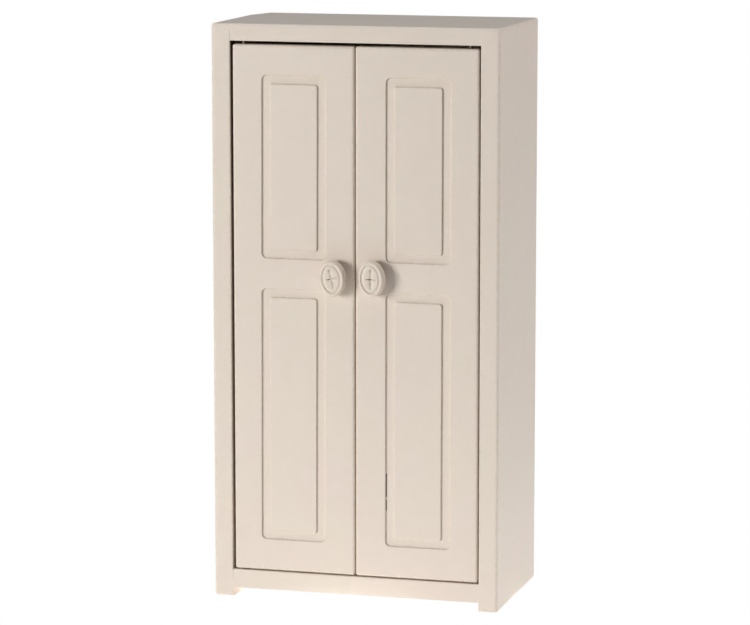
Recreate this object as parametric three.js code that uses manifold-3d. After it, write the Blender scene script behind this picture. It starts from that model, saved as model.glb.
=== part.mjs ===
// Miniature wardrobe for a dolls' house: a painted board carcass on two short feet, with two
// inset doors that turn on pins hidden in their ends.
// Millimetres, +Z up. The doors face -Y. The origin is on the floor, under the middle of the
// whole outline, knobs included.

import * as THREE from 'three';
import { RoundedBoxGeometry } from 'three/addons/geometries/RoundedBoxGeometry.js';
import { mergeVertices } from 'three/addons/utils/BufferGeometryUtils.js';
import Module from 'manifold-3d';

const wasm = await Module();
wasm.setup();

// ---------------------------------------------------------------- driving dimensions

// Carcass
const WIDTH = 101.6;
const DEPTH = 56.5;
const HEIGHT = 200;
const SIDE_THICK = 6.7;
const TOP_THICK = 5.9;
const BOTTOM_THICK = 6.5;
const FOOT = 3.15; // how far the sides run down below the bottom board
const OUTER_ROUND = 0.7; // sanded outer edges
const BACK_THICK = 3;

// Doors
const DOOR_THICK = 5;
const DOOR_ROUND = 0.8;
const GAP_TOP = 1.1;
const GAP_BOTTOM = 0.4;
const GAP_LEFT = 0.85;
const GAP_RIGHT = 0.4;
const GAP_MIDDLE = 0.3;

// Routed outlines of the door panels
const GROOVE_WIDTH = 3;
const GROOVE_DEPTH = 0.8;
const GROOVE_FILLET = 0.4; // round foot of the groove's walls
const GROOVE_CORNER = 1.7;
const STILE = 10.3; // door edge to the outer side of a groove
const BOTTOM_RAIL = 11;
const MIDDLE_RAIL = 10.6;
const TOP_RAIL = 10.4;
const LOWER_PANEL = 88; // height over the groove
const PANEL_SHIFT_LEFT = -0.2; // each door was routed a little off centre
const PANEL_SHIFT_RIGHT = 0.4;

// Pivot pins and washers
const PIN_RADIUS = 0.6;
const PIN_IN_BOARD = 4;
const PIN_IN_DOOR = 5;
const PIN_CHAMFER = 0.15;
const PIVOT_FROM_EDGE = 3.5;
const PIVOT_FROM_FRONT = 2.2;
const PRESS_CLEARANCE = 0.05;
const RUNNING_CLEARANCE = 0.08;
const END_CLEARANCE = 0.3;
const WASHER_RADIUS = 1.7;
const WASHER_THICK = 0.35;

// Knobs
const KNOB_REACH = 5.4;
const KNOB_LONG_RADIUS = 6.2;
const KNOB_SHORT_RADIUS = 4.6;
const KNOB_HEIGHT_LEFT = 114.1; // centre above the floor
const KNOB_HEIGHT_RIGHT = 114.5;
const KNOB_FROM_EDGE_LEFT = 6.7;
const KNOB_FROM_EDGE_RIGHT = 6.8;
const KNOB_LEAN_LEFT = -6.5; // degrees
const KNOB_LEAN_RIGHT = -4.9;
const CROSS_LONG = 7;
const CROSS_SHORT = 4.4;
const CROSS_WIDTH = 0.7;
const CROSS_DEPTH = 0.45;

// Screws that hold the knobs from inside the doors
const SCREW_RADIUS = 0.75;
const SCREW_IN_KNOB = 3.4;
const SCREW_HEAD_RADIUS = 1.9;
const SCREW_HEAD_THICK = 1.1;
const SCREW_HEAD_DOME = 0.45; // height of the head's rounded part
const SCREW_HEAD_FLAT = 1.42; // radius of its flat top
const SCREW_TIP_RADIUS = 0.45;
const SLOT_LENGTH = 2.2;
const SLOT_WIDTH = 0.5;
const SLOT_DEPTH = 0.5;

// Fittings inside
const SHELF_THICK = 3;
const SHELF_HEIGHT = 166; // underside above the floor
const SHELF_SETBACK = 8; // behind the front of the carcass
const RAIL_RADIUS = 1.75;
const RAIL_BELOW_SHELF = 8;
const RAIL_SOCKET = 3;
const STOP_LENGTH = 60; // strip on the shelf's front edge that the doors close against
const STOP_GAP = 0.2;

// Mesh fineness
const ROUND_STEPS = 3;
const HOLE_SIDES = 24;
const KNOB_SIDES = 36;
const GROOVE_STEPS = 3;
const CORNER_STEPS = 4;
const CUT_SPARE = 1; // how far a cutter sticks out of the face that it cuts

// ---------------------------------------------------------------- places worked out from them

const FRONT = KNOB_REACH - (DEPTH + KNOB_REACH) / 2;
const BACK = FRONT + DEPTH;
const INSIDE = WIDTH / 2 - SIDE_THICK; // half the clear width
const FLOOR_TOP = FOOT + BOTTOM_THICK;
const CEILING = HEIGHT - TOP_THICK;
const BACK_FRONT = BACK - BACK_THICK;

const DOOR_BACK = FRONT + DOOR_THICK;
const DOOR_LOW = FLOOR_TOP + GAP_BOTTOM;
const DOOR_HIGH = CEILING - GAP_TOP;
const DOOR_WIDTH = (2 * INSIDE - GAP_LEFT - GAP_RIGHT - GAP_MIDDLE) / 2;
const PIVOT_Y = FRONT + PIVOT_FROM_FRONT;
const SCREW_HOLE = SCREW_RADIUS + PRESS_CLEARANCE;

// Everything that differs between the two doors. `inward` points from the hinge to the free edge.
const DOORS = [
  {
    side: 'left',
    inward: 1,
    hingeEdge: -INSIDE + GAP_LEFT,
    panelShift: PANEL_SHIFT_LEFT,
    knobFromEdge: KNOB_FROM_EDGE_LEFT,
    knobHeight: KNOB_HEIGHT_LEFT,
    knobLean: KNOB_LEAN_LEFT,
  },
  {
    side: 'right',
    inward: -1,
    hingeEdge: INSIDE - GAP_RIGHT,
    panelShift: PANEL_SHIFT_RIGHT,
    knobFromEdge: KNOB_FROM_EDGE_RIGHT,
    knobHeight: KNOB_HEIGHT_RIGHT,
    knobLean: KNOB_LEAN_RIGHT,
  },
];

for (const door of DOORS) {
  door.freeEdge = door.hingeEdge + door.inward * DOOR_WIDTH;
  door.middle = (door.hingeEdge + door.freeEdge) / 2;
  door.pivotX = door.hingeEdge + door.inward * PIVOT_FROM_EDGE;
  door.knobX = door.freeEdge - door.inward * door.knobFromEdge;
}

// ---------------------------------------------------------------- materials

function finish(color, roughness, metalness = 0) {
  return new THREE.MeshStandardMaterial({ color, roughness, metalness });
}

const creamPaint = () => finish(0xe2d5c6, 0.5);
const bareBeech = () => finish(0xcfa877, 0.6);
const zincSteel = () => finish(0xb4b6b8, 0.35, 1);

// ---------------------------------------------------------------- solids

function solidFrom(geometry) {
  const shape = geometry.clone();
  shape.deleteAttribute('normal');
  shape.deleteAttribute('uv');
  const merged = mergeVertices(shape);
  return new wasm.Manifold(new wasm.Mesh({
    numProp: 3,
    vertProperties: new Float32Array(merged.attributes.position.array),
    triVerts: new Uint32Array(merged.index.array),
  }));
}

function geometryFrom(solid) {
  const mesh = solid.getMesh();
  const geometry = new THREE.BufferGeometry();
  geometry.setAttribute('position', new THREE.BufferAttribute(mesh.vertProperties, mesh.numProp));
  geometry.setIndex(new THREE.BufferAttribute(mesh.triVerts, 1));
  geometry.computeVertexNormals();
  return geometry;
}

function block(low, high) {
  const size = high.map((value, axis) => value - low[axis]);
  const centre = high.map((value, axis) => (value + low[axis]) / 2);
  return new THREE.BoxGeometry(...size).translate(...centre);
}

function roundedBlock(low, high, radius) {
  const size = high.map((value, axis) => value - low[axis]);
  const centre = high.map((value, axis) => (value + low[axis]) / 2);
  return new RoundedBoxGeometry(...size, ROUND_STEPS, radius).translate(...centre);
}

// An upright round bar or hole.
function uprightBar(radius, x, y, low, high) {
  const bar = new THREE.CylinderGeometry(radius, radius, high - low, HOLE_SIDES);
  return bar.rotateX(Math.PI / 2).translate(x, y, (low + high) / 2);
}

// A round bar or hole that runs from front to back.
function depthBar(radius, x, z, front, back) {
  const bar = new THREE.CylinderGeometry(radius, radius, back - front, HOLE_SIDES);
  return bar.translate(x, (front + back) / 2, z);
}

// A round bar or hole that runs across the width.
function crossBar(radius, y, z, left, right) {
  const bar = new THREE.CylinderGeometry(radius, radius, right - left, HOLE_SIDES);
  return bar.rotateZ(Math.PI / 2).translate((left + right) / 2, y, z);
}

function cut(solid, ...cutters) {
  return cutters.reduce((left, cutter) => left.subtract(solidFrom(cutter)), solid);
}

// ---------------------------------------------------------------- carcass

const wardrobe = new THREE.Group();

function add(name, geometry, material) {
  const mesh = new THREE.Mesh(geometry, material);
  mesh.name = name;
  wardrobe.add(mesh);
  return mesh;
}

// The sanded outside of the whole carcass: each board is what lies inside it.
const outside = solidFrom(roundedBlock(
  [-WIDTH / 2, FRONT, 0],
  [WIDTH / 2, BACK, HEIGHT],
  OUTER_ROUND,
));

const RAIL_Y = (DOOR_BACK + BACK_FRONT) / 2;
const RAIL_Z = SHELF_HEIGHT - RAIL_BELOW_SHELF;
const RAIL_HALF = INSIDE + RAIL_SOCKET;
const railRoom = crossBar(RAIL_RADIUS + PRESS_CLEARANCE, RAIL_Y, RAIL_Z, -RAIL_HALF, RAIL_HALF);

function sideBoard(inner, outer) {
  const slab = block([Math.min(inner, outer), FRONT, 0], [Math.max(inner, outer), BACK, HEIGHT]);
  return geometryFrom(cut(solidFrom(slab).intersect(outside), railRoom));
}

// A blind pin hole for each door, reaching `low` to `high`.
function pinHoles(radius, low, high) {
  return DOORS.map((door) => uprightBar(radius, door.pivotX, PIVOT_Y, low, high));
}

function flatBoard(low, high, holes) {
  const slab = block([-INSIDE, FRONT, low], [INSIDE, BACK, high]);
  return geometryFrom(cut(solidFrom(slab).intersect(outside), ...holes));
}

const PRESS_HOLE = PIN_RADIUS + PRESS_CLEARANCE;
const BOARD_HOLE_DEPTH = PIN_IN_BOARD + END_CLEARANCE;

add('side_left', sideBoard(-INSIDE, -WIDTH / 2), creamPaint());
add('side_right', sideBoard(INSIDE, WIDTH / 2), creamPaint());
add(
  'top_board',
  flatBoard(CEILING, HEIGHT, pinHoles(PRESS_HOLE, CEILING - CUT_SPARE, CEILING + BOARD_HOLE_DEPTH)),
  creamPaint(),
);
add(
  'bottom_board',
  flatBoard(FOOT, FLOOR_TOP, pinHoles(PRESS_HOLE, FLOOR_TOP - BOARD_HOLE_DEPTH, FLOOR_TOP + CUT_SPARE)),
  creamPaint(),
);
add('back_board', block([-INSIDE, BACK_FRONT, FLOOR_TOP], [INSIDE, BACK, CEILING]), creamPaint());

// ---------------------------------------------------------------- fittings inside

add(
  'hat_shelf',
  block([-INSIDE, FRONT + SHELF_SETBACK, SHELF_HEIGHT], [INSIDE, BACK_FRONT, SHELF_HEIGHT + SHELF_THICK]),
  creamPaint(),
);
add(
  'clothes_rail',
  crossBar(RAIL_RADIUS, RAIL_Y, RAIL_Z, END_CLEARANCE - RAIL_HALF, RAIL_HALF - END_CLEARANCE),
  bareBeech(),
);
add(
  'door_stop',
  block(
    [-STOP_LENGTH / 2, DOOR_BACK + STOP_GAP, SHELF_HEIGHT],
    [STOP_LENGTH / 2, FRONT + SHELF_SETBACK, SHELF_HEIGHT + SHELF_THICK],
  ),
  creamPaint(),
);

// ---------------------------------------------------------------- doors

function roundedOutline(target, left, low, right, high, radius) {
  target.moveTo(left + radius, low);
  target.lineTo(right - radius, low);
  target.absarc(right - radius, low + radius, radius, -Math.PI / 2, 0, false);
  target.lineTo(right, high - radius);
  target.absarc(right - radius, high - radius, radius, 0, Math.PI / 2, false);
  target.lineTo(left + radius, high);
  target.absarc(left + radius, high - radius, radius, Math.PI / 2, Math.PI, false);
  target.lineTo(left, low + radius);
  target.absarc(left + radius, low + radius, radius, Math.PI, Math.PI * 1.5, false);
  return target;
}

// The cutter for one routed outline: a frame with upright walls that round into a flat floor.
function grooveCutter(left, low, right, high) {
  const outline = roundedOutline(new THREE.Shape(), left, low, right, high, GROOVE_CORNER);
  outline.holes.push(roundedOutline(
    new THREE.Path(),
    left + GROOVE_WIDTH,
    low + GROOVE_WIDTH,
    right - GROOVE_WIDTH,
    high - GROOVE_WIDTH,
    GROOVE_CORNER / 2,
  ));
  const cutter = new THREE.ExtrudeGeometry(outline, {
    depth: GROOVE_DEPTH - GROOVE_FILLET + CUT_SPARE,
    bevelThickness: GROOVE_FILLET,
    bevelSize: GROOVE_FILLET,
    bevelOffset: -GROOVE_FILLET,
    bevelSegments: GROOVE_STEPS,
    curveSegments: CORNER_STEPS,
  });
  // The outline's plane becomes X and Z, and the extrusion runs towards the front.
  return cutter.rotateX(Math.PI / 2).translate(0, FRONT + GROOVE_DEPTH - GROOVE_FILLET, 0);
}

function panelGrooves(door) {
  const centre = door.middle + door.panelShift;
  const half = DOOR_WIDTH / 2 - STILE;
  const lowerLow = DOOR_LOW + BOTTOM_RAIL;
  const upperLow = lowerLow + LOWER_PANEL + MIDDLE_RAIL;
  return [
    grooveCutter(centre - half, lowerLow, centre + half, lowerLow + LOWER_PANEL),
    grooveCutter(centre - half, upperLow, centre + half, DOOR_HIGH - TOP_RAIL),
  ];
}

function doorLeaf(door) {
  const left = Math.min(door.hingeEdge, door.freeEdge);
  const leaf = solidFrom(roundedBlock(
    [left, FRONT, DOOR_LOW],
    [left + DOOR_WIDTH, DOOR_BACK, DOOR_HIGH],
    DOOR_ROUND,
  ));
  const hole = PIN_RADIUS + RUNNING_CLEARANCE;
  const depth = PIN_IN_DOOR + END_CLEARANCE;
  return geometryFrom(cut(
    leaf,
    ...panelGrooves(door),
    uprightBar(hole, door.pivotX, PIVOT_Y, DOOR_LOW - CUT_SPARE, DOOR_LOW + depth),
    uprightBar(hole, door.pivotX, PIVOT_Y, DOOR_HIGH - depth, DOOR_HIGH + CUT_SPARE),
    depthBar(SCREW_HOLE, door.knobX, door.knobHeight, FRONT - CUT_SPARE, DOOR_BACK + CUT_SPARE),
  ));
}

// ---------------------------------------------------------------- pivot pins and washers

function lathe(profile, sides) {
  return new THREE.LatheGeometry(profile.map(([radius, along]) => new THREE.Vector2(radius, along)), sides);
}

function pivotPin(door, low, high) {
  const inner = PIN_RADIUS - PIN_CHAMFER;
  const length = high - low;
  const pin = lathe([
    [0, 0],
    [inner, 0],
    [PIN_RADIUS, PIN_CHAMFER],
    [PIN_RADIUS, length - PIN_CHAMFER],
    [inner, length],
    [0, length],
  ], HOLE_SIDES);
  return pin.rotateX(Math.PI / 2).translate(door.pivotX, PIVOT_Y, low);
}

function pivotWasher(door) {
  const bore = PIN_RADIUS + RUNNING_CLEARANCE;
  const washer = lathe([
    [bore, 0],
    [WASHER_RADIUS, 0],
    [WASHER_RADIUS, WASHER_THICK],
    [bore, WASHER_THICK],
    [bore, 0],
  ], HOLE_SIDES);
  return washer.rotateX(Math.PI / 2).translate(door.pivotX, PIVOT_Y, FLOOR_TOP);
}

// ---------------------------------------------------------------- knobs and their screws

// Half the outline of a knob, from the door outwards, at the radius of its long axis.
const KNOB_PROFILE = [
  [0, 0],
  [3.3, 0],
  [3, 0.7],
  [3.1, 1.3],
  [4.2, 1.6],
  [5.7, 1.85],
  [KNOB_LONG_RADIUS, 2.5],
  [KNOB_LONG_RADIUS, 4.5],
  [5.8, 5.15],
  [5.25, KNOB_REACH],
  [4.75, 5.25],
  [4.5, 4.9],
  [4.1, 4.9],
  [3.8, 5.2],
  [0, 5.3],
];

// Built with its long axis upright on the door's face, its middle on the Y axis.
function knobGeometry() {
  const turned = lathe(KNOB_PROFILE, KNOB_SIDES);
  turned.scale(KNOB_SHORT_RADIUS / KNOB_LONG_RADIUS, 1, 1).rotateX(Math.PI);
  const crossBottom = CROSS_DEPTH - KNOB_REACH;
  const longArm = block(
    [-CROSS_WIDTH / 2, -KNOB_REACH - CUT_SPARE, -CROSS_LONG / 2],
    [CROSS_WIDTH / 2, crossBottom, CROSS_LONG / 2],
  );
  const shortArm = block(
    [-CROSS_SHORT / 2, -KNOB_REACH - CUT_SPARE, -CROSS_WIDTH / 2],
    [CROSS_SHORT / 2, crossBottom, CROSS_WIDTH / 2],
  );
  const screwHole = depthBar(SCREW_HOLE, 0, 0, -SCREW_IN_KNOB - END_CLEARANCE, CUT_SPARE);
  return geometryFrom(cut(solidFrom(turned), longArm, shortArm, screwHole));
}

// Built along Y, its head's bearing face at the door's back and its tip towards the front.
function screwGeometry() {
  const tip = -DOOR_THICK - SCREW_IN_KNOB;
  const turned = lathe([
    [0, tip],
    [SCREW_TIP_RADIUS, tip],
    [SCREW_RADIUS, tip + SCREW_RADIUS],
    [SCREW_RADIUS, 0],
    [SCREW_HEAD_RADIUS, 0],
    [SCREW_HEAD_RADIUS, SCREW_HEAD_THICK - SCREW_HEAD_DOME],
    [SCREW_HEAD_FLAT, SCREW_HEAD_THICK],
    [0, SCREW_HEAD_THICK],
  ], HOLE_SIDES);
  const slotFloor = SCREW_HEAD_THICK - SLOT_DEPTH;
  const slotTop = SCREW_HEAD_THICK + CUT_SPARE;
  const levelSlot = block(
    [-SLOT_LENGTH / 2, slotFloor, -SLOT_WIDTH / 2],
    [SLOT_LENGTH / 2, slotTop, SLOT_WIDTH / 2],
  );
  const uprightSlot = block(
    [-SLOT_WIDTH / 2, slotFloor, -SLOT_LENGTH / 2],
    [SLOT_WIDTH / 2, slotTop, SLOT_LENGTH / 2],
  );
  return geometryFrom(cut(solidFrom(turned), levelSlot, uprightSlot));
}

for (const door of DOORS) {
  add(`door_${door.side}`, doorLeaf(door), creamPaint());
  add(
    `pivot_pin_top_${door.side}`,
    pivotPin(door, DOOR_HIGH - PIN_IN_DOOR, CEILING + PIN_IN_BOARD),
    zincSteel(),
  );
  add(
    `pivot_pin_bottom_${door.side}`,
    pivotPin(door, FLOOR_TOP - PIN_IN_BOARD, DOOR_LOW + PIN_IN_DOOR),
    zincSteel(),
  );
  add(`pivot_washer_${door.side}`, pivotWasher(door), zincSteel());

  const knob = add(`knob_${door.side}`, knobGeometry(), creamPaint());
  knob.position.set(door.knobX, FRONT, door.knobHeight);
  knob.rotation.y = THREE.MathUtils.degToRad(door.knobLean);

  const screw = add(`knob_screw_${door.side}`, screwGeometry(), zincSteel());
  screw.position.set(door.knobX, DOOR_BACK, door.knobHeight);
}

export default wardrobe;
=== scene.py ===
import math

import bmesh
import bpy
from mathutils import Matrix, Vector, noise


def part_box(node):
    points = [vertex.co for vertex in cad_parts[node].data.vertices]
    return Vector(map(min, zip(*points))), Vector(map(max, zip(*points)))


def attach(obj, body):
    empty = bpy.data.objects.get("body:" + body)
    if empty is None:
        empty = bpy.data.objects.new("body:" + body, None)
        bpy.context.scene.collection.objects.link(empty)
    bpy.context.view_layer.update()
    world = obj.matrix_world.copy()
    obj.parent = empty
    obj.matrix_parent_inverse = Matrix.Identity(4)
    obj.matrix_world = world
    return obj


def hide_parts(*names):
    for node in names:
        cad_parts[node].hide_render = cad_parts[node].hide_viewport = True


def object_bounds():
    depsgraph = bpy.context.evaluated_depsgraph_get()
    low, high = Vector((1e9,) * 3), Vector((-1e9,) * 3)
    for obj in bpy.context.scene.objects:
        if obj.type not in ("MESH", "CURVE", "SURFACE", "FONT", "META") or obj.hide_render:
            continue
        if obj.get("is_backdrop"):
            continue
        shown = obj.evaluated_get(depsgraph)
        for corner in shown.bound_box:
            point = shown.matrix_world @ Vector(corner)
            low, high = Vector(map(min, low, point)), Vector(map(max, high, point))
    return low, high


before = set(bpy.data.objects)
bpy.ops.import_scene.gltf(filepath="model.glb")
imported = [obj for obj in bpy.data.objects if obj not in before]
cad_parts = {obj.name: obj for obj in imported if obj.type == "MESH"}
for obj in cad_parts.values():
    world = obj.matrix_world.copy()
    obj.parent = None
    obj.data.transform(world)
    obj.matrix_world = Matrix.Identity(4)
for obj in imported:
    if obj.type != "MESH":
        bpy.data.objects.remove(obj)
cad_low, cad_high = (Vector(corner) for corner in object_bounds())

MM = 0.001
TINY = 0.002 * MM

# ------------------------------------------------------------------ camera

CAMERA_AZIMUTH = 15.59  # degrees round from the front, towards the wardrobe's right side
CAMERA_ELEVATION = 8.85
CAMERA_DISTANCE = 1.2032
CAMERA_LENS = 165.1
AIM_FROM_MIDDLE = Vector((-0.49, 2.5, -2.14)) * MM

azimuth, elevation = math.radians(CAMERA_AZIMUTH), math.radians(CAMERA_ELEVATION)
towards_camera = Vector((
    math.sin(azimuth) * math.cos(elevation),
    -math.cos(azimuth) * math.cos(elevation),
    math.sin(elevation),
))
camera_data = bpy.data.cameras.new("studio_camera")
camera_data.sensor_width = 36
camera_data.lens = CAMERA_LENS
camera_data.clip_end = 60
camera = bpy.data.objects.new("studio_camera", camera_data)
camera.location = (cad_low + cad_high) / 2 + AIM_FROM_MIDDLE + towards_camera * CAMERA_DISTANCE
camera.rotation_euler = towards_camera.to_track_quat("Z", "Y").to_euler()
bpy.context.scene.collection.objects.link(camera)
bpy.context.scene.camera = camera
bpy.context.scene.view_settings.view_transform = "Standard"

# ------------------------------------------------------------------ sizes of the finish

OUTER_ROUND = 0.85 * MM  # sanded outside of the carcass
OPENING_ROUND = 0.35 * MM  # front edges round the doors, softened by paint
BOARD_ROUND = 0.4 * MM  # shelf and stop
# The top corner at the back left is sanded off by this much across, along and down.
WORN_CORNER = (3.5 * MM, 14 * MM, 2 * MM)
DOOR_ROUND = 0.8 * MM
SUPPORT = 0.3 * MM  # narrow flat strip beside a rounding, which keeps the flat face flat
SMALL_FLAT = (2 * MM) ** 2  # area of a face too small to need such a strip
HARD_ANGLE = math.radians(38)  # between faces that are shaded apart
WEAR_AND_SHADE_ANGLES = (0.1, 0.7)  # radians between faces, for an edge that the paint wears thin on, or a crease that takes painted shade and dust

GROOVE_WIDTH = 3 * MM
GROOVE_DEPTH = 0.65 * MM  # cut 0.8 deep, then partly filled by the paint
GROOVE_LIP = 0.22 * MM  # paint-softened top of a groove's wall
GROOVE_FOOT = 0.25 * MM  # fillet at the bottom of it
GROOVE_SUPPORT = 0.2 * MM
GROOVE_CORNER = 1.7 * MM
PANEL_CORNER = 0.85 * MM
GROOVE_WANDER = 0.05 * MM  # how far the cutter strayed from a straight line
WANDER_LENGTH = 14 * MM
CRACK_HEIGHTS = (29 * MM, 53 * MM)  # ends of the hairline in the right door's lower groove
GAP_SHADE_AT_FOOT = 0.3  # share of the painted gap shade at the foot of the strips beside the doors

STILE = 10.3 * MM
BOTTOM_RAIL = 11 * MM
MIDDLE_RAIL = 10.6 * MM
TOP_RAIL = 10.4 * MM
LOWER_PANEL = 88 * MM
PANEL_SHIFT = {"left": -0.2 * MM, "right": 0.4 * MM}
PANEL_LEAN = {"left": 0.25, "right": 0.05}  # degrees that the routing ran off upright

PIN_HOLE_IN_DOOR = 0.68 * MM
PIN_DEPTH_IN_DOOR = 5.3 * MM
PIN_HOLE_IN_BOARD = 0.65 * MM
PIN_DEPTH_IN_BOARD = 4.3 * MM
RAIL_HOLE = 1.8 * MM
RAIL_HOLE_DEPTH = 3 * MM
SCREW_HOLE = 0.8 * MM
SCREW_HOLE_IN_KNOB = 3.7 * MM
SCREW_HEAD = 1.1 * MM
RAIL_CHAMFER = 0.3 * MM

HOLE_SIDES = 32
KNOB_SIDES = 96
ROD_SIDES = 48

KNOB_LEAN = {"left": -6.5, "right": -4.9}  # degrees
CROSS_TURN = {"left": -8, "right": 5}  # degrees from the knob's long axis
SCREW_CROSS_TURN = 20  # degrees

# ------------------------------------------------------------------ materials


def linear(colour):
    """An sRGB hex colour as linear light."""
    channels = [int(colour[i:i + 2], 16) / 255 for i in (1, 3, 5)]
    return tuple(c / 12.92 if c <= 0.04045 else ((c + 0.055) / 1.055) ** 2.4 for c in channels) + (1,)


def add(tree, kind, inputs=None, **settings):
    """Adds a node with its settings, and sets or links its inputs."""
    made = tree.nodes.new(f"ShaderNode{kind}")
    for name, value in settings.items():
        setattr(made, name, value)
    for socket, value in (inputs or {}).items():
        if isinstance(value, bpy.types.NodeSocket):
            tree.links.new(value, made.inputs[socket])
        else:
            made.inputs[socket].default_value = value
    return made


def new_material(name):
    material = bpy.data.materials.new(name)
    material.use_nodes = True
    material.node_tree.nodes.clear()
    return material


def satin_cream_paint():
    """Satin acrylic, sprayed in two coats over sanded fibreboard: an even warm cream with a very
    slight orange peel, faint cloudy mottling, painted shade with a little dust in the corners and
    thinner paint on the edges, where the brown board just warms the colour."""
    material = new_material("satin_cream_paint")
    tree = material.node_tree
    place = add(tree, "TexCoord").outputs["Object"]

    # Clouds 22 mm across, where the two coats differ in thickness, and a finer 3 mm mottle.
    clouds = add(tree, "TexNoise", {
        "Vector": place, "Scale": 1 / (22 * MM), "Detail": 2.0, "Roughness": 0.5,
    })
    mottle = add(tree, "TexNoise", {
        "Vector": place, "Scale": 1 / (3 * MM), "Detail": 3.0, "Roughness": 0.6,
    })
    cloud_share = add(tree, "MapRange", {
        "Value": clouds.outputs["Fac"], "From Min": 0.35, "From Max": 0.65,
    })
    mottle_share = add(tree, "MapRange", {
        "Value": mottle.outputs["Fac"], "From Min": 0.35, "From Max": 0.7, "To Max": 0.35,
    })
    coat = add(tree, "Mix", {
        0: cloud_share.outputs["Result"], 6: linear("#e4d8c9"), 7: linear("#e5d6ca"),
    }, data_type="RGBA")
    coat = add(tree, "Mix", {
        0: mottle_share.outputs["Result"], 6: coat.outputs[2], 7: linear("#dfd2c3"),
    }, data_type="RGBA")

    # Thin paint on the edges, broken up by a 1.5 mm noise.
    patches = add(tree, "TexNoise", {
        "Vector": place, "Scale": 1 / (1.5 * MM), "Detail": 4.0, "Roughness": 0.6,
    })
    edge = add(tree, "Attribute", attribute_name="edge")
    thin = add(tree, "MapRange", {
        "Value": patches.outputs["Fac"], "From Min": 0.42, "From Max": 0.72, "To Max": 0.5,
    })
    thin = add(tree, "Math", {0: thin.outputs["Result"], 1: edge.outputs["Fac"]}, operation="MULTIPLY")
    coat = add(tree, "Mix", {
        0: thin.outputs["Value"], 6: coat.outputs[2], 7: linear("#d6c3ad"),
    }, data_type="RGBA")

    # Painted shade in the corners and creases, darker and warmer, with a little dust and pooled paint.
    crease = add(tree, "Attribute", attribute_name="crease")
    shade_and_dust = add(tree, "MapRange", {
        "Value": patches.outputs["Fac"], "From Min": 0.35, "From Max": 0.7, "To Min": 0.0, "To Max": 0.4,
    })
    shade_and_dust = add(tree, "Math", {0: shade_and_dust.outputs["Result"], 1: crease.outputs["Fac"]}, operation="MULTIPLY")
    coat = add(tree, "Mix", {
        0: shade_and_dust.outputs["Value"], 6: coat.outputs[2], 7: linear("#cbbaa3"),
    }, data_type="RGBA")

    # The paint has shrunk away from the foot of one groove and left a broken dark line, with a
    # gap every 4 mm or so.
    crack = add(tree, "Attribute", attribute_name="crack")
    breaks = add(tree, "TexNoise", {"Vector": place, "Scale": 1 / (4.5 * MM), "Detail": 1.0})
    broken = add(tree, "MapRange", {
        "Value": breaks.outputs["Fac"], "From Min": 0.47, "From Max": 0.5,
    })
    line = add(tree, "Math", {0: broken.outputs["Result"], 1: crack.outputs["Fac"]}, operation="MULTIPLY")
    coat = add(tree, "Mix", {
        0: line.outputs["Value"], 6: coat.outputs[2], 7: linear("#4f3d2f"),
    }, data_type="RGBA")

    # Painted shade: a dark brown on the strips inside the opening beside the doors' edges, standing in for
    # the shade in the gaps.
    gap_shade = add(tree, "Attribute", attribute_name="gap_shade")
    coat = add(tree, "Mix", {
        0: gap_shade.outputs["Fac"], 6: coat.outputs[2], 7: linear("#5b4a3b"),
    }, data_type="RGBA")

    # Orange peel in waves of 0.7 mm, 6 thousandths high, over sanding waves 9 mm long.
    peel = add(tree, "TexNoise", {
        "Vector": place, "Scale": 1 / (0.7 * MM), "Detail": 1.5, "Roughness": 0.4,
    })
    waves = add(tree, "TexNoise", {"Vector": place, "Scale": 1 / (9 * MM), "Detail": 1.0})
    broad = add(tree, "Bump", {
        "Strength": 1.0, "Distance": 0.02 * MM, "Height": waves.outputs["Fac"],
    })
    surface = add(tree, "Bump", {
        "Strength": 1.0, "Distance": 0.006 * MM, "Height": peel.outputs["Fac"],
        "Normal": broad.outputs["Normal"],
    })
    gloss = add(tree, "MapRange", {
        "Value": mottle.outputs["Fac"], "From Min": 0.3, "From Max": 0.7, "To Min": 0.44, "To Max": 0.54,
    })
    shader = add(tree, "BsdfPrincipled", {
        "Base Color": coat.outputs[2], "Roughness": gloss.outputs["Result"], "IOR": 1.47,
        "Normal": surface.outputs["Normal"],
    })
    add(tree, "OutputMaterial", {"Surface": shader.outputs["BSDF"]})
    return material


def bare_beech():
    """Turned beech dowel, sanded and left bare: pinkish tan with fine brown rays along its length."""
    material = new_material("bare_turned_beech")
    tree = material.node_tree
    place = add(tree, "TexCoord").outputs["Object"]
    # The grain runs along the dowel, across the wardrobe: streaks 0.25 mm wide and 8 mm long.
    along = add(tree, "Mapping", {"Vector": place, "Scale": (1 / 32, 1, 1)})
    grain = add(tree, "TexNoise", {
        "Vector": along.outputs["Vector"], "Scale": 1 / (0.25 * MM), "Detail": 3.0, "Roughness": 0.6,
    })
    rings = add(tree, "TexNoise", {
        "Vector": along.outputs["Vector"], "Scale": 1 / (1.2 * MM), "Detail": 1.0,
    })
    wood = add(tree, "Mix", {
        0: grain.outputs["Fac"], 6: linear("#d9b58a"), 7: linear("#b98d5f"),
    }, data_type="RGBA")
    tint = add(tree, "MapRange", {
        "Value": rings.outputs["Fac"], "From Min": 0.4, "From Max": 0.65, "To Max": 0.45,
    })
    wood = add(tree, "Mix", {
        0: tint.outputs["Result"], 6: wood.outputs[2], 7: linear("#c9a076"),
    }, data_type="RGBA")
    pores = add(tree, "Bump", {
        "Strength": 1.0, "Distance": 0.012 * MM, "Height": grain.outputs["Fac"],
    })
    dryness = add(tree, "MapRange", {
        "Value": grain.outputs["Fac"], "From Min": 0.3, "From Max": 0.7, "To Min": 0.55, "To Max": 0.7,
    })
    shader = add(tree, "BsdfPrincipled", {
        "Base Color": wood.outputs[2], "Roughness": dryness.outputs["Result"],
        "Normal": pores.outputs["Normal"],
    })
    add(tree, "OutputMaterial", {"Surface": shader.outputs["BSDF"]})
    return material


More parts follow.
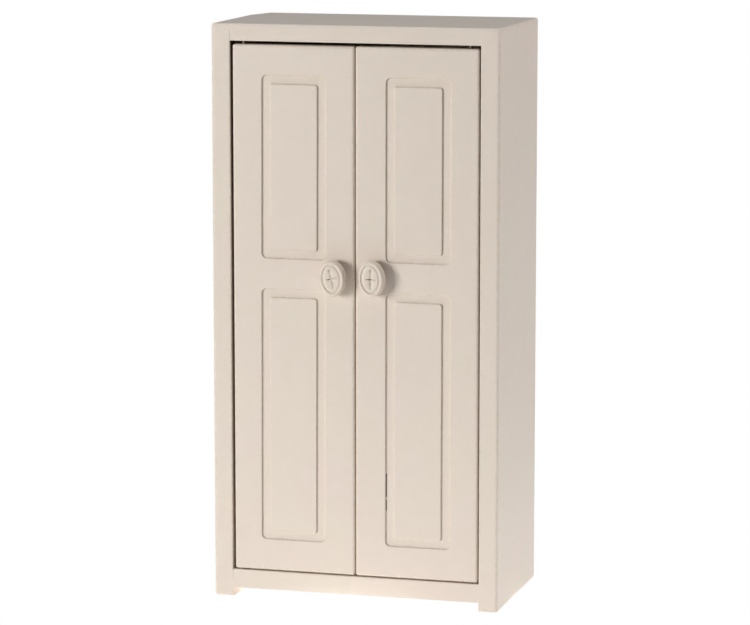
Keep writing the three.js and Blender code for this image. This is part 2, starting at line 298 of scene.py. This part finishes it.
def zinc_plated_steel():
    """Steel screws with bright zinc plate: cool silver, slightly clouded."""
    material = new_material("zinc_plated_steel")
    tree = material.node_tree
    place = add(tree, "TexCoord").outputs["Object"]
    clouds = add(tree, "TexNoise", {
        "Vector": place, "Scale": 1 / (0.8 * MM), "Detail": 3.0, "Roughness": 0.6,
    })
    plate = add(tree, "Mix", {
        0: clouds.outputs["Fac"], 6: linear("#c4c7ca"), 7: linear("#9da0a4"),
    }, data_type="RGBA")
    gloss = add(tree, "MapRange", {
        "Value": clouds.outputs["Fac"], "From Min": 0.3, "From Max": 0.7, "To Min": 0.25, "To Max": 0.42,
    })
    scuffs = add(tree, "TexNoise", {"Vector": place, "Scale": 1 / (0.2 * MM), "Detail": 2.0})
    surface = add(tree, "Bump", {
        "Strength": 1.0, "Distance": 0.002 * MM, "Height": scuffs.outputs["Fac"],
    })
    shader = add(tree, "BsdfPrincipled", {
        "Base Color": plate.outputs[2], "Metallic": 1.0, "Roughness": gloss.outputs["Result"],
        "Normal": surface.outputs["Normal"],
    })
    add(tree, "OutputMaterial", {"Surface": shader.outputs["BSDF"]})
    return material


def tarnished_steel():
    """Plain steel of the pins and washers, gone dull and brown, with darker spots half a millimetre
    across."""
    material = new_material("tarnished_steel")
    tree = material.node_tree
    place = add(tree, "TexCoord").outputs["Object"]
    spots = add(tree, "TexNoise", {
        "Vector": place, "Scale": 1 / (0.5 * MM), "Detail": 3.0, "Roughness": 0.6,
    })
    tarnish = add(tree, "Mix", {
        0: spots.outputs["Fac"], 6: linear("#8a7c6c"), 7: linear("#5a4c3e"),
    }, data_type="RGBA")
    dull = add(tree, "MapRange", {
        "Value": spots.outputs["Fac"], "From Min": 0.3, "From Max": 0.7, "To Min": 0.5, "To Max": 0.7,
    })
    surface = add(tree, "Bump", {
        "Strength": 1.0, "Distance": 0.003 * MM, "Height": spots.outputs["Fac"],
    })
    shader = add(tree, "BsdfPrincipled", {
        "Base Color": tarnish.outputs[2], "Metallic": 0.8, "Roughness": dull.outputs["Result"],
        "Normal": surface.outputs["Normal"],
    })
    add(tree, "OutputMaterial", {"Surface": shader.outputs["BSDF"]})
    return material


CREAM = satin_cream_paint()
BEECH = bare_beech()
ZINC = zinc_plated_steel()
TARNISHED = tarnished_steel()

# ------------------------------------------------------------------ working the shapes


def board(low, high):
    """A square-edged board as a new bmesh."""
    bm = bmesh.new()
    place = Matrix.Translation((low + high) / 2) @ Matrix.Diagonal((*(high - low), 1))
    bmesh.ops.create_cube(bm, size=1, matrix=place)
    return bm


def made_of(kind, items):
    """The verts or the edges among a mixed lot."""
    return [item for item in items if isinstance(item, kind)]


def cut_across(bm, point, normal, **settings):
    everything = bm.verts[:] + bm.edges[:] + bm.faces[:]
    return bmesh.ops.bisect_plane(bm, geom=everything, plane_co=point, plane_no=normal, **settings)


def round_edges(bm, edges, radius, segments=4):
    bmesh.ops.bevel(
        bm, geom=edges, offset=radius, offset_type="OFFSET", affect="EDGES", segments=segments, profile=0.5,
        material=-1, clamp_overlap=True,
    )


def edges_where(bm, test):
    """The edges with both ends where test says."""
    return [edge for edge in bm.edges if all(test(vert.co) for vert in edge.verts)]


def keep_flats(bm, width=SUPPORT):
    """Lays a narrow strip round each flat face, so that smooth shading stays beside the roundings."""
    bm.normal_update()
    for axis in range(3):
        for way in (-1, 1):
            flat = [
                face for face in bm.faces
                if face.normal[axis] * way > 0.9999 and face.calc_area() > SMALL_FLAT
            ]
            if flat:
                bmesh.ops.inset_region(
                    bm, faces=flat, thickness=width, use_even_offset=True, use_boundary=True,
                )


def face_at(bm, point):
    """The flat face that holds a point."""
    bm.normal_update()
    for face in bm.faces:
        level = abs((point - face.verts[0].co).dot(face.normal)) < TINY
        if level and bmesh.geometry.intersect_face_point(face, point):
            return face
    raise ValueError(f"no face at {point}")


def ring(bm, middle, normal, radius):
    """A round loop of edges that faces along normal."""
    turn = normal.to_track_quat("Z", "Y").to_matrix().to_4x4()
    made = bmesh.ops.create_circle(
        bm, cap_ends=False, segments=HOLE_SIDES, radius=radius, matrix=Matrix.Translation(middle) @ turn,
    )
    return list({edge for vert in made["verts"] for edge in vert.link_edges})


def open_face(bm, face, loops):
    """Cuts closed loops of edges out of a flat face."""
    edges, normal = list(face.edges), face.normal.copy()
    for loop in loops:
        edges += loop
    bmesh.ops.delete(bm, geom=[face], context="FACES_ONLY")
    bmesh.ops.triangle_fill(bm, edges=edges, use_beauty=True, normal=normal)


def drill(bm, mouths, radius, depth):
    """Blind round holes in one flat face, with their mouths at these points."""
    face = face_at(bm, mouths[0])
    normal = face.normal.copy()
    rims = [ring(bm, mouth, normal, radius) for mouth in mouths]
    open_face(bm, face, rims)
    for rim in rims:
        made = bmesh.ops.extrude_edge_only(bm, edges=rim)["geom"]
        end = made_of(bmesh.types.BMVert, made)
        bmesh.ops.translate(bm, verts=end, vec=normal * -depth)
        floor = [edge for edge in made_of(bmesh.types.BMEdge, made) if set(edge.verts) <= set(end)]
        bmesh.ops.edgeloop_fill(bm, edges=floor)


def mark_wear_and_shade(bm):
    """Notes where the surface turns outwards (edge), where the paint wears thin, or inwards (crease), where
    painted shade and dust go.
    """
    edge_mark = bm.verts.layers.float.new("edge")
    crease_mark = bm.verts.layers.float.new("crease")
    least, most = WEAR_AND_SHADE_ANGLES
    for vert in bm.verts:
        turns = [edge.calc_face_angle_signed(0) for edge in vert.link_edges]
        vert[edge_mark] = 1 if least < max(turns) < most else 0
        vert[crease_mark] = 1 if min(turns) < -least and max(turns) < most else 0


def mark_gap_shade(bm, inner, front):
    """Notes the strip inside the opening, beside the door's edge, that takes painted shade for the dark
    gap. The shade is strongest at the top and fades downwards."""
    gap_shade_mark = bm.verts.layers.float.new("gap_shade")
    for vert in bm.verts:
        height = (vert.co.z - floor_top) / (ceiling - floor_top)
        in_strip = abs(vert.co.x - inner) < TINY and front < vert.co.y < door_back + TINY
        if in_strip and -0.01 < height < 1.01:
            vert[gap_shade_mark] = GAP_SHADE_AT_FOOT + (1 - GAP_SHADE_AT_FOOT) * height


def finish_piece(bm, name, body, slot, material, *nodes):
    """Closes a worked shape and shows it in place of its CAD nodes."""
    bmesh.ops.remove_doubles(bm, verts=bm.verts, dist=TINY / 2)
    bmesh.ops.recalc_face_normals(bm, faces=bm.faces)
    bm.normal_update()
    mark_wear_and_shade(bm)
    for face in bm.faces:
        face.smooth = True
    for edge in bm.edges:
        edge.smooth = edge.calc_face_angle(0) < HARD_ANGLE
    mesh = bpy.data.meshes.new(name)
    bm.to_mesh(mesh)
    bm.free()
    mesh.materials.append(material)
    piece = bpy.data.objects.new(name, mesh)
    bpy.context.scene.collection.objects.link(piece)
    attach(piece, body)
    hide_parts(*nodes)
    return piece


# ------------------------------------------------------------------ carcass

floor_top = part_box("bottom_board")[1].z
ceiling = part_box("top_board")[0].z
pivots = {side: sum(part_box(f"pivot_pin_top_{side}"), Vector()) / 2 for side in ("left", "right")}
rail_middle = sum(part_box("clothes_rail"), Vector()) / 2
door_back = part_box("door_left")[1].y


def wear_off_corner(bm, corner):
    """Sands one top corner down to a slanting facet."""
    along_x, along_y, along_z = WORN_CORNER
    slant = Vector((-1 / along_x, 1 / along_y, 1 / along_z)).normalized()
    cut = cut_across(bm, corner - Vector((0, 0, along_z)), slant, clear_outer=True)
    bmesh.ops.edgeloop_fill(bm, edges=made_of(bmesh.types.BMEdge, cut["geom_cut"]))


def side_board(side):
    low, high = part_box(f"side_{side}")
    inner = high.x if side == "left" else low.x
    bm = board(low, high)
    if side == "left":
        wear_off_corner(bm, Vector((low.x, high.y, high.z)))
    on_inner = edges_where(bm, lambda co: abs(co.x - inner) < TINY)
    round_edges(bm, [edge for edge in bm.edges if edge not in on_inner], OUTER_ROUND)
    for level in (floor_top, ceiling):
        cut_across(bm, (0, 0, level), (0, 0, 1))
    opening = edges_where(bm, lambda co: (
        abs(co.x - inner) < TINY and abs(co.y - low.y) < TINY and floor_top - TINY < co.z < ceiling + TINY
    ))
    round_edges(bm, opening, OPENING_ROUND, 3)
    for level in (door_back, door_back + SUPPORT):
        cut_across(bm, (0, level, 0), (0, 1, 0))
    keep_flats(bm)
    # Painted shade on the strip inside the opening, where the gap beside the door is dark.
    mark_gap_shade(bm, inner, low.y + OPENING_ROUND + SUPPORT / 2)
    drill(bm, [Vector((inner, rail_middle.y, rail_middle.z))], RAIL_HOLE, RAIL_HOLE_DEPTH)
    return finish_piece(bm, f"painted_side_{side}", "carcass", "cream_paint", CREAM, f"side_{side}")


def end_board(node, outer, inner):
    """The top or bottom board. outer and inner are the heights of its two faces."""
    low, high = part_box(node)
    bm = board(low, high)
    outside = [
        edge for edge in edges_where(bm, lambda co: abs(co.z - outer) < TINY)
        if abs(edge.verts[0].co.x - edge.verts[1].co.x) > TINY
    ]
    opening = edges_where(bm, lambda co: abs(co.z - inner) < TINY and abs(co.y - low.y) < TINY)
    if outer > inner:
        round_edges(bm, outside, OUTER_ROUND)
    round_edges(bm, opening, OPENING_ROUND, 3)
    keep_flats(bm)
    drill(
        bm, [Vector((pivots[side].x, pivots[side].y, inner)) for side in pivots],
        PIN_HOLE_IN_BOARD, PIN_DEPTH_IN_BOARD,
    )
    return finish_piece(bm, f"painted_{node}", "carcass", "cream_paint", CREAM, node)


def inner_board(node, rounded):
    """A board inside the carcass. rounded tells which of its points lie on its softened edges."""
    bm = board(*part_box(node))
    round_edges(bm, edges_where(bm, rounded), BOARD_ROUND, 3)
    keep_flats(bm, BOARD_ROUND / 2)
    return finish_piece(bm, f"painted_{node}", "carcass", "cream_paint", CREAM, node)


side_board("left")
side_board("right")
end_board("top_board", cad_high.z, ceiling)
end_board("bottom_board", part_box("bottom_board")[0].z, floor_top)
inner_board("back_board", lambda co: False)
shelf_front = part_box("hat_shelf")[0].y
inner_board("hat_shelf", lambda co: abs(co.y - shelf_front) < TINY)
stop_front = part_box("door_stop")[0].y
inner_board("door_stop", lambda co: abs(co.y - stop_front) < TINY)

# ------------------------------------------------------------------ doors


def rounded_loop(bm, left, low, right, high, y, corner):
    """A rectangle of edges across the front, with round corners and cuts along its sides."""
    verts = [bm.verts.new((x, y, z)) for x, z in ((left, low), (right, low), (right, high), (left, high))]
    bm.faces.new(verts)
    rounded = bmesh.ops.bevel(
        bm, geom=verts, offset=corner, offset_type="OFFSET", affect="VERTICES", segments=4, profile=0.5,
        material=-1,
    )
    face = rounded["verts"][0].link_faces[0]
    loop = list(face.edges)
    bmesh.ops.delete(bm, geom=[face], context="FACES_ONLY")
    sides = [edge for edge in loop if edge.calc_length() > 5 * MM]
    uprights = [edge for edge in sides if abs(edge.verts[0].co.z - edge.verts[1].co.z) > TINY]
    levels = [edge for edge in sides if edge not in uprights]
    corner_edges = [edge for edge in loop if edge not in sides]
    made = []
    for group, cuts in ((uprights, 15), (levels, 3)):
        split = bmesh.ops.subdivide_edges(bm, edges=group, cuts=cuts)["geom_split"]
        made += made_of(bmesh.types.BMEdge, split)
    return corner_edges + made


def groove_section():
    """A groove's section from its outer to its inner lip: (distance in from the outline, depth,
    radius of the corners there)."""
    quarter = [math.radians(angle) for angle in (0, 30, 60, 90)]
    foot_top = GROOVE_DEPTH - GROOVE_FOOT
    wall = [(-GROOVE_LIP - GROOVE_SUPPORT, 0)]
    wall += [(GROOVE_LIP * (math.sin(a) - 1), GROOVE_LIP * (1 - math.cos(a))) for a in quarter]
    wall += [(GROOVE_FOOT * (1 - math.cos(a)), foot_top + GROOVE_FOOT * math.sin(a)) for a in quarter]
    wall += [(GROOVE_FOOT + GROOVE_SUPPORT, GROOVE_DEPTH)]
    outer = [(inset, depth, GROOVE_CORNER - inset) for inset, depth in wall]
    inner = [(GROOVE_WIDTH - inset, depth, PANEL_CORNER + inset) for inset, depth in reversed(wall)]
    return outer + inner


def routed_panel(bm, left, low, right, high, front, lean):
    """Routs one panel's outline and returns its outer loop, to be cut out of the door's face."""
    section = groove_section()
    # The loops are bridged while they stand apart like a tube's, then pressed to their real depths.
    loops = []
    for number, (inset, _, corner) in enumerate(section):
        sides = left + inset, low + inset, right - inset, high - inset
        loops.append(rounded_loop(bm, *sides, front + number * MM, corner))
    for first, second in zip(loops, loops[1:]):
        bmesh.ops.bridge_loops(bm, edges=first + second)
    bmesh.ops.edgeloop_fill(bm, edges=loops[-1])
    for number, (loop, (_, depth, _)) in enumerate(zip(loops, section)):
        verts = list({vert for edge in loop for vert in edge.verts})
        bmesh.ops.translate(bm, vec=(0, depth - number * MM, 0), verts=verts)
        bmesh.ops.transform(bm, matrix=lean, verts=verts)
        for vert in verts if number else []:
            place = vert.co / WANDER_LENGTH
            vert.co.x += GROOVE_WANDER * noise.noise(place)
            vert.co.z += GROOVE_WANDER * noise.noise(place + Vector((7, 3, 5)))
    return loops[0]


def mark_crack(bm, wall, floor):
    """Notes the foot of a groove's outer wall, over the heights where its paint has cracked."""
    crack_mark = bm.verts.layers.float.new("crack")
    lowest, highest = CRACK_HEIGHTS
    for vert in bm.verts:
        beside = wall - TINY < vert.co.x < wall + GROOVE_FOOT + TINY + GROOVE_WANDER
        deep = floor - GROOVE_FOOT * 0.9 < vert.co.y < floor + TINY
        vert[crack_mark] = 1 if beside and deep and lowest < vert.co.z < highest else 0


def door_leaf(side):
    low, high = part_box(f"door_{side}")
    bm = board(low, high)
    round_edges(bm, bm.edges[:], DOOR_ROUND)
    keep_flats(bm)

    pivot = pivots[side]
    drill(bm, [Vector((pivot.x, pivot.y, high.z))], PIN_HOLE_IN_DOOR, PIN_DEPTH_IN_DOOR)
    drill(bm, [Vector((pivot.x, pivot.y, low.z))], PIN_HOLE_IN_DOOR, PIN_DEPTH_IN_DOOR)

    middle = (low.x + high.x) / 2 + PANEL_SHIFT[side]
    half = (high.x - low.x) / 2 - STILE
    lower = low.z + BOTTOM_RAIL
    upper = lower + LOWER_PANEL + MIDDLE_RAIL
    knob = sum(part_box(f"knob_{side}"), Vector()) / 2
    front, back = (face_at(bm, Vector((knob.x, y, knob.z))) for y in (low.y, high.y))
    screw_front = ring(bm, Vector((knob.x, low.y, knob.z)), Vector((0, -1, 0)), SCREW_HOLE)
    screw_back = ring(bm, Vector((knob.x, high.y, knob.z)), Vector((0, 1, 0)), SCREW_HOLE)
    centre = Matrix.Translation(Vector((middle, 0, (low.z + high.z) / 2)))
    lean = centre @ Matrix.Rotation(math.radians(PANEL_LEAN[side]), 4, "Y") @ centre.inverted()
    panels = [
        routed_panel(bm, middle - half, lower, middle + half, lower + LOWER_PANEL, low.y, lean),
        routed_panel(bm, middle - half, upper, middle + half, high.z - TOP_RAIL, low.y, lean),
    ]
    open_face(bm, front, [*panels, screw_front])
    open_face(bm, back, [screw_back])
    bmesh.ops.bridge_loops(bm, edges=screw_front + screw_back)

    if side == "right":
        mark_crack(bm, middle - half, low.y + GROOVE_DEPTH)
    return finish_piece(bm, f"painted_door_{side}", f"{side}_door", "cream_paint", CREAM, f"door_{side}")


# ------------------------------------------------------------------ knobs, screws and rail


def turned(bm, rings, sides):
    """A closed shape along -Y through oval rings of (half width, half height, distance out).
    Returns the last ring's edges, which are left open."""
    first = rings[0]
    matrix = Matrix.Rotation(math.radians(90), 4, "X")
    start = bmesh.ops.create_circle(bm, cap_ends=True, segments=sides, radius=1, matrix=matrix)
    verts = start["verts"]
    bmesh.ops.scale(bm, vec=(first[0], 1, first[1]), verts=verts)
    bmesh.ops.translate(bm, vec=(0, -first[2], 0), verts=verts)
    edges = [edge for edge in bm.edges if all(vert in verts for vert in edge.verts)]
    for before, after in zip(rings, rings[1:]):
        made = bmesh.ops.extrude_edge_only(bm, edges=edges)["geom"]
        verts = made_of(bmesh.types.BMVert, made)
        bmesh.ops.scale(bm, vec=(after[0] / before[0], 1, after[1] / before[1]), verts=verts)
        bmesh.ops.translate(bm, vec=(0, before[2] - after[2], 0), verts=verts)
        edges = [edge for edge in made_of(bmesh.types.BMEdge, made) if set(edge.verts) <= set(verts)]
    return edges


def cross_recess(bm, rim, long_half, short_half, arm_half, out, steps, turn):
    """Closes an open ring with a flat end that has a cross sunk in it. steps are (inset, drop)."""
    verts = []
    for quarter in range(4):
        reach = (short_half, long_half)[quarter % 2]
        quarter_turn = Matrix.Rotation(math.radians(turn - 90 * quarter), 3, "Y")
        for x, z in ((reach, -arm_half), (reach, arm_half), (arm_half, arm_half)):
            verts.append(bm.verts.new(quarter_turn @ Vector((x, 0, z)) + Vector((0, -out, 0))))
    bm.faces.new(verts)
    softened = bmesh.ops.bevel(
        bm, geom=verts, offset=arm_half * 0.4, offset_type="OFFSET", affect="VERTICES", segments=2,
        profile=0.5, material=-1,
    )
    cross = softened["verts"][0].link_faces[0]
    cross.normal_update()
    if cross.normal.y > 0:
        cross.normal_flip()
    bmesh.ops.triangle_fill(bm, edges=rim + list(cross.edges), use_beauty=True, normal=(0, -1, 0))
    for inset, drop in steps:
        bmesh.ops.inset_region(bm, faces=[cross], thickness=inset, depth=-drop, use_even_offset=True)


def placed(bm, turn, spot):
    bmesh.ops.transform(bm, matrix=Matrix.Translation(spot) @ turn, verts=bm.verts)


# An oval knob from the door outwards, in millimetres: half width, half height, distance out.
KNOB_RINGS = [
    (2.45, 3.3, 0), (2.35, 3.15, 0.2), (2.27, 3.03, 0.5), (2.27, 3.0, 0.9), (2.42, 3.22, 1.2),
    (2.9, 4.0, 1.42), (3.6, 5.0, 1.6), (4.1, 5.6, 1.85), (4.4, 6.0, 2.2), (4.55, 6.15, 2.6),
    (4.6, 6.2, 3.1), (4.6, 6.2, 3.9), (4.56, 6.16, 4.3), (4.46, 6.06, 4.7), (4.3, 5.9, 5.03),
    (4.1, 5.7, 5.26), (3.9, 5.5, 5.37), (3.7, 5.3, 5.39), (3.52, 5.12, 5.34), (3.4, 5.0, 5.25),
    (3.3, 4.9, 5.15), (3.2, 4.8, 5.09), (3.08, 4.68, 5.07), (2.95, 4.55, 5.1), (2.8, 4.4, 5.16),
    (2.65, 4.25, 5.23), (2.5, 4.1, 5.28), (2.35, 3.95, 5.3), (2.2, 3.8, 5.3),
]
# The cross in its face, in millimetres: half length, half width, half thickness, then its walls
# as (step in, step down).
KNOB_CROSS = (3.45, 1.9, 0.42)
KNOB_CROSS_STEPS = [(0.08, 0.03), (0.08, 0.06), (0.08, 0.06), (0.06, 0.02)]
# A pan-head screw's shank and head: (radius, distance from the tip) and (radius, below the top).
SCREW_TIP = [(0.45, 0), (0.75, 0.7)]
SCREW_CAP = [(1.9, 0.95), (1.9, 0.7), (1.8, 0.45), (1.6, 0.2), (1.45, 0.06), (1.35, 0)]
SCREW_UNDER_HEAD = [0.75, 1.75]
SCREW_CROSS = (1.1, 1.1, 0.25)
SCREW_CROSS_STEPS = [(0.03, 0.03), (0.03, 0.3), (0.08, 0.12)]


def in_mm(rows):
    return [tuple(value * MM for value in row) for row in rows]


def knob(side):
    low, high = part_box(f"knob_{side}")
    bm = bmesh.new()
    rings = in_mm(KNOB_RINGS)
    rim = turned(bm, rings, KNOB_SIDES)
    face_out = rings[-1][2]
    cross_recess(bm, rim, *in_mm([KNOB_CROSS])[0], face_out, in_mm(KNOB_CROSS_STEPS), CROSS_TURN[side])
    base = face_at(bm, Vector((0, 0, 0)))
    if base.normal.y < 0:
        base.normal_flip()
    drill(bm, [Vector((0, 0, 0))], SCREW_HOLE, SCREW_HOLE_IN_KNOB)
    spot = Vector(((low.x + high.x) / 2, high.y, (low.z + high.z) / 2))
    placed(bm, Matrix.Rotation(math.radians(KNOB_LEAN[side]), 4, "Y"), spot)
    return finish_piece(bm, f"oval_knob_{side}", f"{side}_door", "cream_paint", CREAM, f"knob_{side}")


def knob_screw(side):
    low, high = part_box(f"knob_screw_{side}")
    reach = high.y - low.y
    bm = bmesh.new()
    profile = in_mm(SCREW_TIP) + [(radius * MM, reach - SCREW_HEAD) for radius in SCREW_UNDER_HEAD]
    profile += [(radius, reach - below) for radius, below in in_mm(SCREW_CAP)]
    rim = turned(bm, [(radius, radius, out) for radius, out in profile], ROD_SIDES)
    cross_recess(bm, rim, *in_mm([SCREW_CROSS])[0], reach, in_mm(SCREW_CROSS_STEPS), SCREW_CROSS_TURN)
    spot = Vector(((low.x + high.x) / 2, low.y, (low.z + high.z) / 2))
    placed(bm, Matrix.Rotation(math.radians(180), 4, "Z"), spot)
    return finish_piece(
        bm, f"pan_head_screw_{side}", f"{side}_door", "zinc_steel", ZINC, f"knob_screw_{side}",
    )


def clothes_rail():
    low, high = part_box("clothes_rail")
    radius, length = (high.z - low.z) / 2, high.x - low.x
    end = radius - RAIL_CHAMFER
    bm = bmesh.new()
    profile = [(end, 0), (radius, RAIL_CHAMFER), (radius, length - RAIL_CHAMFER), (end, length)]
    rim = turned(bm, [(around, around, out) for around, out in profile], ROD_SIDES)
    bmesh.ops.edgeloop_fill(bm, edges=rim)
    placed(bm, Matrix.Rotation(math.radians(90), 4, "Z"), Vector((low.x, rail_middle.y, rail_middle.z)))
    return finish_piece(bm, "beech_clothes_rail", "carcass", "bare_beech", BEECH, "clothes_rail")


for side in ("left", "right"):
    door_leaf(side)
    knob(side)
    knob_screw(side)
clothes_rail()

# The pins and washers are the CAD's own, with a better finish.
for node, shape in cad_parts.items():
    if node.startswith("pivot_"):
        shape.data.materials.clear()
        shape.data.materials.append(TARNISHED)

# ------------------------------------------------------------------ studio

POOL_RADIUS = 0.2  # of the lit part of the floor
POOL_GLOW = 0.42
UNDER_GLOW = 1.3
SURROUND_GLOW = 1.0
SURROUND_RADIUS = 20
FLOOR_HALF_SIZE = 8


def stage_piece(name, bm, material):
    mesh = bpy.data.meshes.new(name)
    bm.to_mesh(mesh)
    bm.free()
    mesh.materials.append(material)
    piece = bpy.data.objects.new(name, mesh)
    bpy.context.scene.collection.objects.link(piece)
    piece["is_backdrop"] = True
    return piece


def white_floor():
    """A matt white table top, brightest in a pool round the wardrobe, which lights its lower half."""
    material = new_material("matt_white_floor")
    tree = material.node_tree
    place = add(tree, "TexCoord").outputs["Object"]
    away = add(tree, "VectorMath", {0: place}, operation="LENGTH")
    pool = add(tree, "MapRange", {
        "Value": away.outputs["Value"], "From Min": POOL_RADIUS * 0.8, "From Max": POOL_RADIUS * 1.2,
        "To Min": POOL_GLOW, "To Max": 0.0,
    })
    # Under the wardrobe itself the bounced light is stronger, and reaches the feet's inner sides.
    across = (cad_high.y - cad_low.y) / (cad_high.x - cad_low.x)
    squashed = add(tree, "Mapping", {"Vector": place, "Scale": (across, 1, 1)})
    under = add(tree, "VectorMath", {0: squashed.outputs["Vector"]}, operation="LENGTH")
    bounce = add(tree, "MapRange", {
        "Value": under.outputs["Value"], "From Min": cad_high.y * 0.8, "From Max": cad_high.y * 1.1,
        "To Min": UNDER_GLOW, "To Max": 0.0,
    })
    glow = add(tree, "Math", {0: pool.outputs["Result"], 1: bounce.outputs["Result"]}, operation="ADD")
    shader = add(tree, "BsdfPrincipled", {
        "Base Color": linear("#e8e8e8"), "Roughness": 0.9, "Emission Color": (1, 1, 1, 1),
        "Emission Strength": glow.outputs["Value"],
    })
    add(tree, "OutputMaterial", {"Surface": shader.outputs["BSDF"]})
    bm = bmesh.new()
    bmesh.ops.create_grid(bm, x_segments=1, y_segments=1, size=FLOOR_HALF_SIZE)
    floor = stage_piece("floor", bm, material)
    floor.visible_camera = False


def white_surround():
    """The burnt-out white of the table and the wall behind. It only shows: all light and shine is
    left to the lamps and the floor."""
    material = new_material("burnt_out_white")
    glow = add(material.node_tree, "Emission", {"Color": (1, 1, 1, 1), "Strength": SURROUND_GLOW})
    add(material.node_tree, "OutputMaterial", {"Surface": glow.outputs["Emission"]})
    bm = bmesh.new()
    bmesh.ops.create_icosphere(bm, subdivisions=5, radius=SURROUND_RADIUS)
    surround = stage_piece("surround", bm, material)
    surround.visible_diffuse = False
    surround.visible_glossy = False
    surround.visible_shadow = False


def softbox(name, aim, azimuth, elevation, distance, width, height, power, colour=(1, 1, 1)):
    """A soft rectangular light that faces a point, seen from it at these angles in degrees."""
    a, e = math.radians(azimuth), math.radians(elevation)
    out = Vector((math.sin(a) * math.cos(e), -math.cos(a) * math.cos(e), math.sin(e)))
    data = bpy.data.lights.new(name, "AREA")
    data.shape = "RECTANGLE"
    data.size, data.size_y = width, height
    data.energy = power
    data.color = colour
    light = bpy.data.objects.new(name, data)
    light.location = aim + out * distance
    light.rotation_euler = out.to_track_quat("Z", "Y").to_euler()
    light.visible_camera = False
    bpy.context.scene.collection.objects.link(light)


white_floor()
white_surround()
aim = (cad_low + cad_high) / 2
softbox("key", aim, -38, 5, 1.6, 0.6, 0.6, 18.5, (1, 0.995, 0.975))
softbox("overhead", aim, 0, 88, 1.4, 1.0, 1.0, 10.2, (0.88, 0.93, 1))
softbox("side_fill", aim, 100, 18, 1.6, 1.0, 1.0, 13.5)
